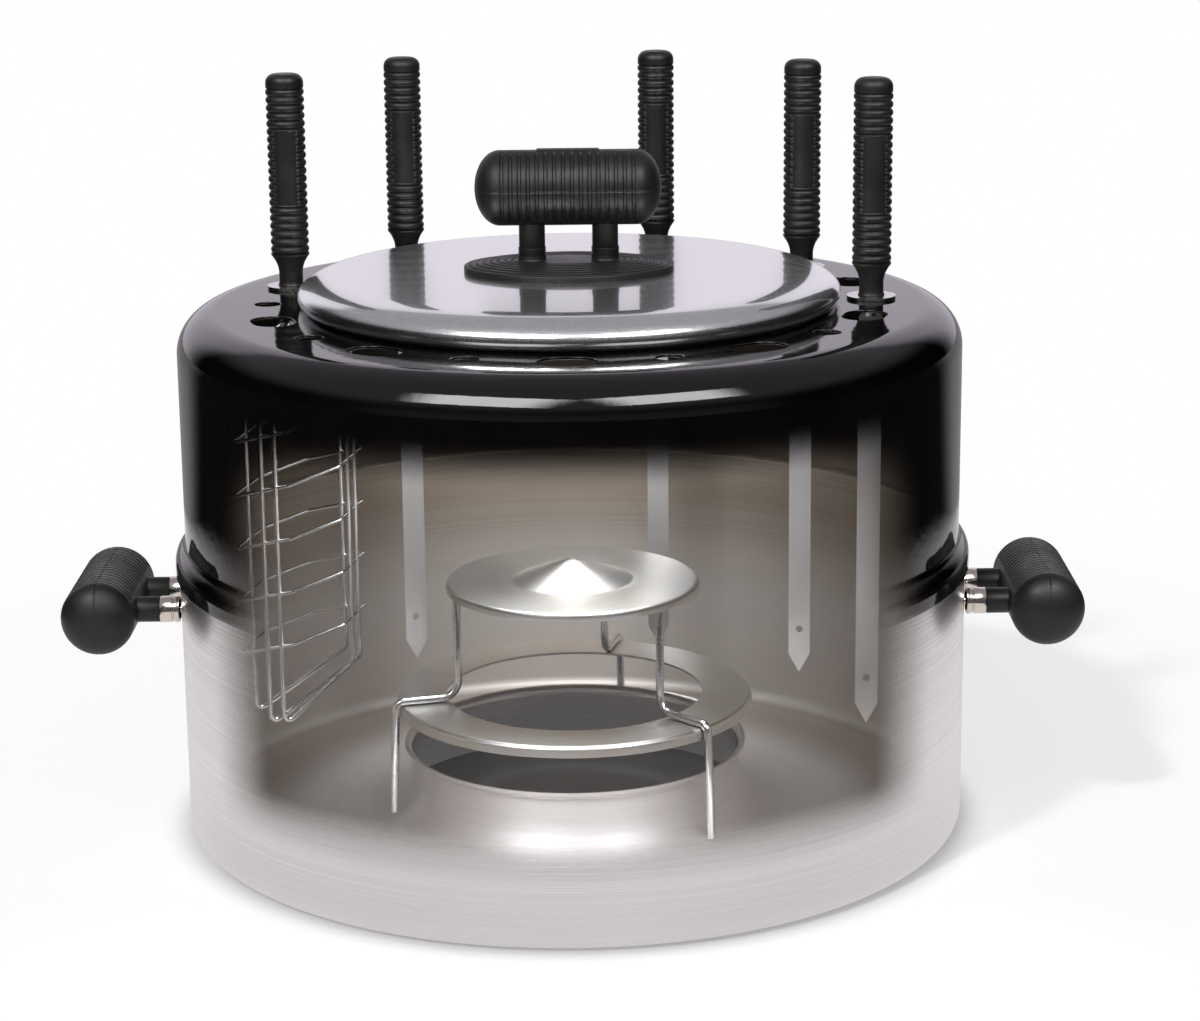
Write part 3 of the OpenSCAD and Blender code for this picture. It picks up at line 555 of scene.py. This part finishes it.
def hood_parts():
    """The hood's faces in three groups: outside, inside and the edges of its holes."""
    holes = [(HOLE_STEP_A * k + HOLE_STEP_A / 2, (WIDE_HOLE_L - WIDE_HOLE_W) / 2, WIDE_HOLE_W / 2)
             for k in range(HOLE_COUNT)]
    holes += [(HOLE_STEP_A * k, 0.0, SMALL_HOLE_D / 2) for k in range(HOLE_COUNT)]
    under, half_sheet = HOOD_TOP - HOOD_SHEET, HOOD_SHEET / 2
    inner_path, outer_path = hood_paths()
    outside, inside = [], []
    for path in (inner_path, outer_path):
        outside.append(spun(path, closed=False))
        inside.append(spun(offset(path, -HOOD_SHEET)[::-1], closed=False))
    lip_end = arc((LIP_R - half_sheet, LIP_Z + half_sheet), half_sheet, 0, -180, 10)
    outside.append(spun(lip_end, closed=False))
    outside.append(spun([offset(inner_path, -HOOD_SHEET)[0], inner_path[0]], closed=False))
    wide = [hole_loop(a, half, r + HOLE_EDGE_R) for a, half, r in holes]
    outside.append(holed_ring(*HOLE_RING, HOOD_TOP, wide))
    points, faces = holed_ring(*HOLE_RING, under, wide)
    inside.append((points, [f[::-1] for f in faces]))
    edges = []
    bend = arc((HOLE_EDGE_R, -HOLE_EDGE_R), HOLE_EDGE_R, 90, 180, 5)
    section = [(x, HOOD_TOP + y) for x, y in bend] + [(x, under - y) for x, y in bend[::-1]]
    for a, half, r in holes:
        rings = [hole_loop(a, half, r + x) for x, _ in section]
        points = [(x, y, z) for ring, (_, z) in zip(rings, section) for x, y in ring]
        edges.append((points, ring_faces(len(rings), len(rings[0]), flip=True)))
    return joined(*outside), joined(*inside), joined(*edges)


groups = hood_parts()
hood_slots = [i for i, group in enumerate(groups) for _ in group[1]]
mesh_object("hood_spun", joined(*groups), "hood", "hood", [ENAMEL, HOOD_INSIDE, ENAMEL],
            hood_slots)


# Lid

lid_wide_z = HOOD_TOP + SEAT_GAP + LID_CURL_R * math.sin(math.radians(LID_CURL_A))
lid_path = [(r, LID_TOP) for r in (0.0, 4.0, 40.0, 80.0, LID_R - LID_ROUND_W - 2)]
lid_path += [(LID_R - LID_ROUND_W * (1 - math.sin(a)), lid_wide_z + (LID_TOP - lid_wide_z) * math.cos(a))
             for a in np.linspace(0, math.pi / 2, 41)]
lid_path += arc((LID_R - LID_CURL_R, lid_wide_z), LID_CURL_R, 0, -LID_CURL_A, 20)[1:]
lid_part = spun(sheet_loop(lid_path, -LID_SHEET))
mesh_object("lid_dish_spun", lid_part, "lid", "lid_dish", [POLISH])


def oval_point(inset, angle):
    """A point on the plate's four-arc oval, set in all round, where the edge faces along the angle."""
    end_r, half_w, end_x = PLATE_END_R - inset, PLATE_W / 2 - inset, PLATE_L / 2 - PLATE_END_R
    side_r = (end_x ** 2 + half_w ** 2 - end_r ** 2) / (2 * (half_w - end_r))
    nx, ny = math.cos(angle), math.sin(angle)
    if abs(ny) * end_x < abs(nx) * (side_r - half_w):
        return math.copysign(end_x, nx) + end_r * nx, end_r * ny
    return side_r * nx, side_r * ny - math.copysign(side_r - half_w, ny)


def lid_plate(steps=200):
    """The ribbed oval plate: a rounded edge, then ridges that climb to a smooth middle."""
    round_z, rows = PLATE_EDGE_T - PLATE_ROUND, RIDGE_COUNT * RIDGE_STEPS
    section = [(0.0, 0.0), (0.0, round_z)]
    section += [(PLATE_ROUND - x, round_z + y) for x, y in arc((0, 0), PLATE_ROUND, 0, 90, 4)][1:]
    for i in range(1, rows + 1):
        climb = PLATE_CROWN * (1 - (1 - i / rows) ** 2)
        valley = RIDGE_H * (1 - abs(math.cos(math.pi * i / RIDGE_STEPS))) ** 2
        section.append((PLATE_ROUND + i * RIDGE_PITCH / RIDGE_STEPS, PLATE_EDGE_T + climb - valley))
    points = []
    for inset, z in section:
        points += [(*oval_point(inset, FULL_TURN * k / steps), LID_TOP + z) for k in range(steps)]
    faces = ring_faces(len(section), steps)
    faces.append(tuple((len(section) - 1) * steps + k for k in range(steps)))
    return points, faces


def boss():
    """A boss on the plate, with thin grooves round it."""
    r, low = BOSS_D / 2, LID_TOP + PLATE_EDGE_T + PLATE_CROWN
    floor_r = r - BOSS_GROOVE_DEPTH
    section = [(r + BOSS_FOOT_R, low - BOSS_SUNK)]
    section += arc((r + BOSS_FOOT_R, low + BOSS_FOOT_Z), BOSS_FOOT_R, 270, 180, 6)
    for down in BOSS_GROOVES:
        top = BOSS_TOP - down
        section += [(r, top - 0.75), (floor_r, top - 0.6), (floor_r, top - 0.25), (r, top - 0.1)]
    section += [(r, BOSS_TOP - BOSS_BEVEL), (r - BOSS_BEVEL, BOSS_TOP), (0.0, BOSS_TOP)]
    return spun(section, ROUND_STEPS, closed=False)


def at_posts(part, z=0.0):
    """A part, twice, at the places of a grip's two posts."""
    return [moved(part, Matrix.Translation((s * POST_GAP / 2, 0, z))) for s in (-1, 1)]


plate = joined(lid_plate(), *at_posts(boss()))
mesh_object("lid_plate_ribbed", plate, "lid", "lid_handle_plate", [BLACK])


# Pan grips

def grip_stations():
    """Places along a grip, each with how deep it is cut there: round ends, and bars between the grooves."""
    straight = GRIP_L / 2 - GRIP_END_L
    dome = [straight + GRIP_END_L * math.sin(a) for a in np.linspace(0, math.pi / 2, 26)]
    half, wall = GROOVE_W / 2, GROOVE_WALL
    profile = [(-half, 0.0), (-half + 0.3 * wall, 0.15), (-half + 0.7 * wall, 0.85)]
    profile += [(-half + wall, 1.0), (0.0, 1.0)]
    profile += [(-x, depth) for x, depth in profile[-2::-1]]
    stations = [(-x, 0.0) for x in dome[::-1]]
    for i in range(GROOVE_COUNT):
        middle = (i - (GROOVE_COUNT - 1) / 2) * GROOVE_PITCH
        stations += [(middle + x, GROOVE_DEPTH * depth) for x, depth in profile]
    return stations + [(x, 0.0) for x in dome]


def fade(value, low, high):
    """From 0 to 1 between two values, with soft ends."""
    t = min(1.0, max(0.0, (value - low) / (high - low)))
    return t * t * (3 - 2 * t)


def grip_body(pad):
    """A grip along X with grooves on its flanks, a thin mould seam and, where asked, a pad on top."""
    low, high = [(a - GROOVE_FADE_A, a + GROOVE_FADE_A) for a in (GROOVE_LOW_A, GROOVE_HIGH_A)]
    rise = [-90 + GRIP_ROW_A * i for i in range(41)] + [*low, *high]
    rise = sorted(rise + [-SEAM_A, -SEAM_A / 2, SEAM_A / 2, SEAM_A])
    turns = rise + [180 - a for a in rise[-2:0:-1]]
    points = []
    stations = grip_stations()
    for x, groove in stations:
        into = max(0.0, abs(x) - (GRIP_L / 2 - GRIP_END_L)) / GRIP_END_L
        whole = GRIP_R * math.sqrt(max(0.0, 1 - into ** 2))
        for turn in turns:
            flank = turn if turn <= 90 else 180 - turn
            on_flank = fade(flank, *low) * fade(flank, *high[::-1])
            seam = SEAM_DEPTH * max(0.0, 1 - abs(flank) / SEAM_A) * min(1.0, whole)
            r = whole - groove * on_flank - seam
            y, z = r * math.cos(math.radians(turn)), r * math.sin(math.radians(turn))
            if pad and z > 0:
                along = fade(abs(x), PAD_L / 2, PAD_L / 2 - PAD_EDGE)
                z += PAD_H * (along * fade(abs(y), PAD_W / 2, PAD_W / 2 - PAD_EDGE))
            points.append((x, y, z))
    return points, ring_faces(len(stations), len(turns), flip=True)


def grip_post(reach):
    """A post that reaches down from inside the grip."""
    r, top = POST_D / 2, -GRIP_R + POST_SUNK
    section = [(0.0, -reach), (r - POST_BEVEL, -reach), (r, -reach + POST_BEVEL), (r, top), (0.0, top)]
    return spun(section, ROUND_STEPS, closed=False)


def pan_grip(name, reach, matrix, body, node, pad=False):
    part = moved(joined(grip_body(pad), *at_posts(grip_post(reach))), matrix)
    mesh_object(name, part, body, node, [BLACK], sharp=SHARP_GRIP_A)


def at_side(side):
    """A side grip's own frame: the grip along X, its posts along -Z towards the wall."""
    turn = Matrix.Rotation(math.radians(90 * side), 4, "Y") @ Matrix.Rotation(math.radians(90), 4, "Z")
    return Matrix.Translation((side * SIDE_GRIP_R, 0, SIDE_Z)) @ turn


def ferrule():
    """A nickel ferrule from the wall to a post: a foot against the wall, a groove and a plain sleeve."""
    r, low = FERRULE_D / 2, -FERRULE_L
    section = [(r - 1.4, low), (r - 0.2, low + 0.2), (r, low + 0.8), (r, low + 2.2), (r - 0.7, low + 2.7)]
    section += [(r - 0.7, low + 3.1), (r - 0.1, low + 3.5), (r - 0.1, -0.3), (r - 0.4, 0.0)]
    section += [(FERRULE_BORE_R, 0.0)]
    return spun(section, ROUND_STEPS, closed=False)


lid_grip_at = Matrix.Translation((0, 0, LID_GRIP_Z))
pan_grip("lid_grip_grooved", LID_POST_REACH, lid_grip_at, "lid", "lid_grip", pad=True)
for side, word in ((-1, "left"), (1, "right")):
    pan_grip("side_grip_" + word + "_grooved", SIDE_POST_REACH, at_side(side), "base", "side_grip_" + word)
    sleeves = moved(joined(*at_posts(ferrule(), -SIDE_POST_REACH)), at_side(side))
    mesh_object("side_ferrules_" + word + "_turned", sleeves, "base", "side_ferrules_" + word,
                [NICKEL], sharp=SHARP_ROUND_A)


# Skewer grips

def handle_radius(z):
    """Radius of a skewer's grip at a height above its foot."""
    r, neck = HANDLE_D / 2, NECK_D / 2
    if z < NECK_L:
        share = max(0.0, (z - NECK_STRAIGHT * NECK_L) / ((1 - NECK_STRAIGHT) * NECK_L))
        foot = FOOT_FLARE * max(0.0, 1 - z / FOOT_H) ** 2
        return neck + foot + (r - neck) * share ** 2
    if z < RIB_Z:
        return r
    if z < RIB_Z + RIB_COUNT * RIB_PITCH:
        from_top = 2 * ((z - RIB_Z) / RIB_PITCH % 1.0) - 1
        return r - RIB_DEPTH * (1 - (1 - from_top ** 2) ** RIB_POWER)
    into = max(0.0, z - (HANDLE_L - CAP_R)) / CAP_R
    return r - CAP_INSET - CAP_R * (1 - math.sqrt(max(0.0, 1 - into ** 2)))


def handle(sides=112, steps=460):
    """A ribbed grip along Z, with a smooth panel let into its front and back."""
    last_rows = HANDLE_L - np.array([0.12, 0.06, 0.02, 0.0])
    zs = np.concatenate([np.linspace(0, HANDLE_L, steps)[:-1], last_rows])
    panel_r = HANDLE_D / 2 - RIB_DEPTH / 2
    middle = RIB_Z + (RIB_COUNT + 1) * RIB_PITCH / 2
    points = []
    for z in zs:
        r = handle_radius(z)
        for a in np.linspace(0, FULL_TURN, sides, endpoint=False):
            beside = (abs(r * math.cos(a)) - PANEL_W / 2) / PANEL_SIDE_EDGE
            beyond = (abs(z - middle) - PANEL_L / 2) / PANEL_END_EDGE
            share = 1 - min(1.0, max(0.0, beside, beyond))
            here = r + (panel_r - r) * share * share * (3 - 2 * share)
            points.append((here * math.cos(a), here * math.sin(a), z))
    faces = ring_faces(len(zs), sides)
    faces += [tuple(range(sides))[::-1], tuple((len(zs) - 1) * sides + k for k in range(sides))]
    return points, faces


def at_hole(angle, z=0.0):
    a = math.radians(angle)
    return Matrix.Translation((HOLE_CIRCLE_R * math.cos(a), HOLE_CIRCLE_R * math.sin(a), z))


grip_shape = handle()
hung = [("skewer_" + str(i + 1), angle) for i, angle in enumerate(SKEWER_ANGLES)]
for name, angle in hung + [("basket", BASKET_ANGLE)]:
    part = moved(grip_shape, at_hole(angle, HANDLE_Z))
    mesh_object(name + "_grip_ribbed", part, name, name + "_grip", [BLACK],
                sharp=SHARP_RIB_A)


# Heat spreader

def turned_down(radius, z, rim):
    """The outer edge of a spreader sheet: a bend from its flat down to its rim."""
    bend = arc((radius - SPREADER_EDGE_R, z - SPREADER_EDGE_R), SPREADER_EDGE_R, 90, 0, 12)
    return [(radius - SPREADER_EDGE_R - 1, z)] + bend + [(radius, z - rim)]


disc_path = arc((0, DISC_Z + CONE_H - CONE_TIP_R), CONE_TIP_R, 90, 90 - CONE_TIP_A, 12)
disc_path += [(CONE_R - 1.2, DISC_Z + 0.5), (CONE_R - 0.5, DISC_Z + 0.16), (CONE_R + 0.3, DISC_Z)]
disc_path += [(CONE_R + 3, DISC_Z), (40.0, DISC_Z)] + turned_down(DISC_R, DISC_Z, DISC_RIM)
ring_path = [(RING_HOLE_R, RING_Z), (RING_HOLE_R + 1, RING_Z)] + turned_down(RING_R, RING_Z, RING_RIM)
for word, path in (("disc", disc_path), ("ring", ring_path)):
    part = spun(sheet_loop(path, -SPREADER_SHEET), SPREADER_STEPS)
    mesh_object("spreader_" + word + "_pressed", part, "spreader", "spreader_" + word,
                [SPREADER])


def flare_z(r):
    """Height of the base pan's inside on the collar's flare."""
    return FLARE_R - math.sqrt((FLARE_R - BASE_SHEET) ** 2 - (THROAT_R + FLARE_R - r) ** 2)


run_z = RING_Z + LEG_D / 2 + LEG_GAP
leg_path = [(LEG_IN_R, 0, DISC_Z - SPREADER_SHEET), (LEG_IN_R, 0, run_z), (LEG_OUT_R, 0, run_z),
            (FOOT_R, 0, flare_z(FOOT_R - LEG_D / 2) + SEAT_GAP)]
leg = tube(rounded(leg_path, LEG_BENDS), LEG_D, sides=24)
legs = [moved(leg, Matrix.Rotation(math.radians(FIRST_LEG_A + 360 / LEG_COUNT * i), 4, "Z"))
        for i in range(LEG_COUNT)]
mesh_object("spreader_legs_bent", joined(*legs), "spreader", "spreader_legs", [LEG_WIRE],
            sharp=SHARP_ROUND_A)


# Basket

def hexagon_point(side, share):
    """A point on the basket's hexagon, a share of the way along a side."""
    x, s, y = BASKET_L / 2, BASKET_SIDE / 2, BASKET_W / 2
    corners = [(x, 0), (s, y), (-s, y), (-x, 0), (-s, -y), (s, -y)]
    a, b = Vector(corners[side % 6]), Vector(corners[(side + 1) % 6])
    turn = Matrix.Rotation(math.radians(BASKET_TURN), 2)
    return turn @ (a * (1 - share) + b * share)


def upright(start, end):
    """One wire: down one side, across the bottom and up the other side, with both ends at the tang."""
    a, b = hexagon_point(*start), hexagon_point(*end)
    top = HOOD_TOP - BASKET_DROP + TANG_BELOW_L
    join = HOOD_TOP - TANG_BELOW_L - BASKET_COLLAR_L / 2
    bottom = HOOD_TOP - BASKET_REACH
    near_a, near_b = a.normalized(), b.normalized()
    path = [(*near_a, join), (*a, top), (*a, bottom)]
    path += [(*b, bottom + BOTTOM_RISE), (*b, top), (*near_b, join)]
    return tube(rounded(path, BASKET_BEND_R), UPRIGHT_D)


def hoop(index):
    z = HOOD_TOP - BASKET_DROP - index * HOOP_PITCH
    corners = [hexagon_point(i, 0) for i in range(6)]
    path = rounded([(q.x, q.y, z + HOOP_SLOPE * q.x) for q in corners], HOOP_BEND_R, closed=True)
    return tube(path, HOOP_D, closed=True, sides=12)


def tang():
    """The round tang and the collar that holds the wires to it."""
    low, r, tang_r = HOOD_TOP - TANG_BELOW_L - BASKET_COLLAR_L, BASKET_COLLAR_D / 2, TANG_D / 2
    high = low + BASKET_COLLAR_L
    section = [(0.0, low), (r - BASKET_COLLAR_BEVEL, low), (r, low + BASKET_COLLAR_BEVEL)]
    section += [(r, high - BASKET_COLLAR_TAPER), (tang_r, high), (tang_r, HANDLE_Z + TANG_SUNK)]
    return spun(section, TANG_STEPS, closed=False)


wires = [upright(start, end) for start, end in UPRIGHTS] + [tang()] + [hoop(i) for i in range(HOOP_COUNT)]
cage = moved(joined(*wires), at_hole(BASKET_ANGLE))
mesh_object("basket_cage_wires", cage, "basket", "basket_cage", [WIRE],
            sharp=SHARP_ROUND_A)


# Carried-over solids

for node, obj in frame["nodes"].items():
    material = None
    if node.endswith("_guard"):
        material = GUARD
    elif node.endswith("_blade"):
        material = BLADE
    elif "screws" in node or "washers" in node:
        material = NICKEL
    if material:
        obj.data.materials.clear()
        obj.data.materials.append(material)


# Stage, light and camera

def plain_view(nodes):
    """The light path, and 1 for rays from the camera, straight or through something clear."""
    path = nodes.add("LightPath")
    return path, nodes.math("MAXIMUM", path.outputs["Is Camera Ray"], path.outputs["Is Transmission Ray"])


def floor():
    """A wide white floor.

    To the camera it fades to plain white away from the grill, and keeps a pale shadow near it.
    To reflections it glows: pale near the grill, less so far behind, dark elsewhere, with painted shade
    under the pan.
    """
    angles = np.linspace(0, FULL_TURN, FLOOR_SIDES, endpoint=False)
    points = [(0, 0, 0)] + [(FLOOR_R * math.cos(a), FLOOR_R * math.sin(a), 0) for a in angles]
    mesh = bpy.data.meshes.new("floor")
    faces = [(0, i, i % FLOOR_SIDES + 1) for i in range(1, FLOOR_SIDES + 1)]
    mesh.from_pydata((np.array(points) * MM).tolist(), [], faces)
    look = Look("floor_white", roughness=0.9, base_color=(0.8, 0.8, 0.8))
    path, plain = plain_view(look)
    x, y, _ = look.split(look.place())
    radius = look.radius()
    from_back = look.math("ABSOLUTE", look.math("ARCTAN2", x, y))
    behind = look.ramp(from_back, math.radians(BEHIND_A[0]), math.radians(BEHIND_A[1]), 0.0, BEHIND)
    share = look.math("MAXIMUM", behind, look.ramp(radius, *PALE_R))
    # Painted shade: what reflections see of the floor turns darker under the pan
    share = look.math("MULTIPLY", share, look.ramp(radius, *UNDER_SHADE_R, 0.12, 0.9))
    share = look.math("MULTIPLY", share, look.ramp(radius, *FAR_R, 1.03, 1.0))
    reflected = look.add("Emission", {"Color": look.mix(share, (0.012, 0.012, 0.012), (0.88, 0.85, 0.86))})
    pale = look.add("BsdfDiffuse", {"Color": (0.46, 0.46, 0.46)})
    glow = look.add("Emission", {"Color": (1, 1, 1), "Strength": look.ramp(radius, *GLOW_R, 0.0, 0.63)})
    near = look.add("AddShader", {0: pale.outputs[0], 1: glow.outputs[0]})
    white = look.add("Emission", {"Color": (1, 1, 1), "Strength": 1.0})
    seen = look.blend(look.ramp(radius, *WHITE_R), near.outputs[0], white.outputs[0])
    lit = look.blend(path.outputs["Is Glossy Ray"], look.shader.outputs[0], reflected.outputs[0])
    look.feed(look.tree.nodes["Material Output"].inputs["Surface"], look.blend(plain, lit, seen))
    mesh.materials.append(look.material)
    obj = bpy.data.objects.new("floor", mesh)
    obj.location.z = -FLOOR_DROP * MM
    bpy.context.scene.collection.objects.link(obj)


def world():
    """White to the camera, an even fill to matt surfaces, and a studio to reflections.

    The studio is white behind, grey above, faint low in front and dark at the sides.
    """
    scene_world = bpy.data.worlds.new("studio")
    bpy.context.scene.world = scene_world
    scene_world.use_nodes = True
    scene_world.node_tree.nodes.clear()
    sky = Nodes(scene_world.node_tree)
    x, y, z = sky.split(sky.add("TexCoord").outputs["Generated"])
    turn = sky.math("ARCTAN2", x, y)
    backdrop = sky.ramp(z, *BACKDROP_Z, 0.0, BACKDROP)
    for start, end in (BACKDROP_LEFT_A, BACKDROP_RIGHT_A):
        side = sky.ramp(turn, math.radians(start), math.radians(end))
        backdrop = sky.math("MULTIPLY", backdrop, side)
    above = sky.ramp(z, *ABOVE_Z, 0.0, ABOVE)
    front = sky.math("MULTIPLY", sky.ramp(y, *FRONT_Y, 0.0, FRONT), sky.ramp(z, *FRONT_Z, 1.0, 0.0))
    studio = sky.math("ADD", sky.math("MAXIMUM", backdrop, above), front)
    path, plain = plain_view(sky)
    reflected = sky.add("Background", {"Color": STUDIO_TINT, "Strength": studio})
    fill = sky.add("Background", {"Color": (1, 1, 1), "Strength": FILL})
    white = sky.add("Background", {"Color": (1, 1, 1), "Strength": 1.0})
    lit = sky.blend(path.outputs["Is Glossy Ray"], fill.outputs[0], reflected.outputs[0])
    sky.feed(sky.add("OutputWorld").inputs["Surface"], sky.blend(plain, lit, white.outputs[0]))


def lamp(name, kind, power, at, hidden_from=("camera",), **settings):
    """A lamp that looks at the grill and is left out of some kinds of ray; its place is in millimetres."""
    data = bpy.data.lights.new(name, kind)
    data.energy = power
    for key, value in settings.items():
        setattr(data, key, value)
    obj = bpy.data.objects.new(name, data)
    bpy.context.scene.collection.objects.link(obj)
    obj.location = Vector(at) * MM
    obj.rotation_euler = (LAMP_TARGET - Vector(at)).to_track_quat("-Z", "Y").to_euler()
    for kind_of_ray in hidden_from:
        setattr(obj, "visible_" + kind_of_ray, False)
    return data


def softbox(name, power, at, width, height):
    """A lamp that only reflections see, dimmer towards its two ends."""
    data = lamp(name, "AREA", power, at, HIGHLIGHT, shape="RECTANGLE", size=width, size_y=height)
    data.use_nodes = True
    nodes = Nodes(data.node_tree)
    across = nodes.split(nodes.add("NewGeometry").outputs["Parametric"])[0]
    from_end = nodes.math("PINGPONG", across, 0.5)
    nodes.feed(data.node_tree.nodes["Emission"].inputs["Strength"], nodes.ramp(from_end, 0.0, 0.3))


def camera():
    """The fitted camera, turned by its pitch and roll."""
    data = bpy.data.cameras.new("camera")
    data.lens = CAMERA_LENS
    data.sensor_fit = "HORIZONTAL"
    data.sensor_width = CAMERA_SENSOR
    obj = bpy.data.objects.new("camera", data)
    bpy.context.scene.collection.objects.link(obj)
    up = Vector((0, math.sin(CAMERA_PITCH), math.cos(CAMERA_PITCH)))
    right = Vector((1, 0, 0))
    x_axis = math.cos(CAMERA_ROLL) * right + math.sin(CAMERA_ROLL) * up
    y_axis = math.cos(CAMERA_ROLL) * up - math.sin(CAMERA_ROLL) * right
    turned = Matrix((x_axis, y_axis, x_axis.cross(y_axis))).transposed().to_4x4()
    obj.matrix_world = Matrix.Translation(Vector(CAMERA_AT) * MM) @ turned
    bpy.context.scene.camera = obj


floor()
world()
lamp("key", "SUN", 1.2, (-1000, -1200, 2000), UNSEEN, angle=math.radians(5))
softbox("softbox_left", 36.0, (-640, -1200, 1535), 1.50, 0.76)
softbox("softbox_right", 30.0, (750, -1130, 1585), 1.40, 0.72)
lamp("softbox_low", "AREA", 12.0, (-350, -1750, 330), UNSEEN, shape="RECTANGLE", size=1.1, size_y=0.6)
lamp("chamber_light", "AREA", 0.50, (0, 0, 232), shape="DISK", size=0.15)
camera()
bpy.context.scene.view_settings.view_transform = "Standard"
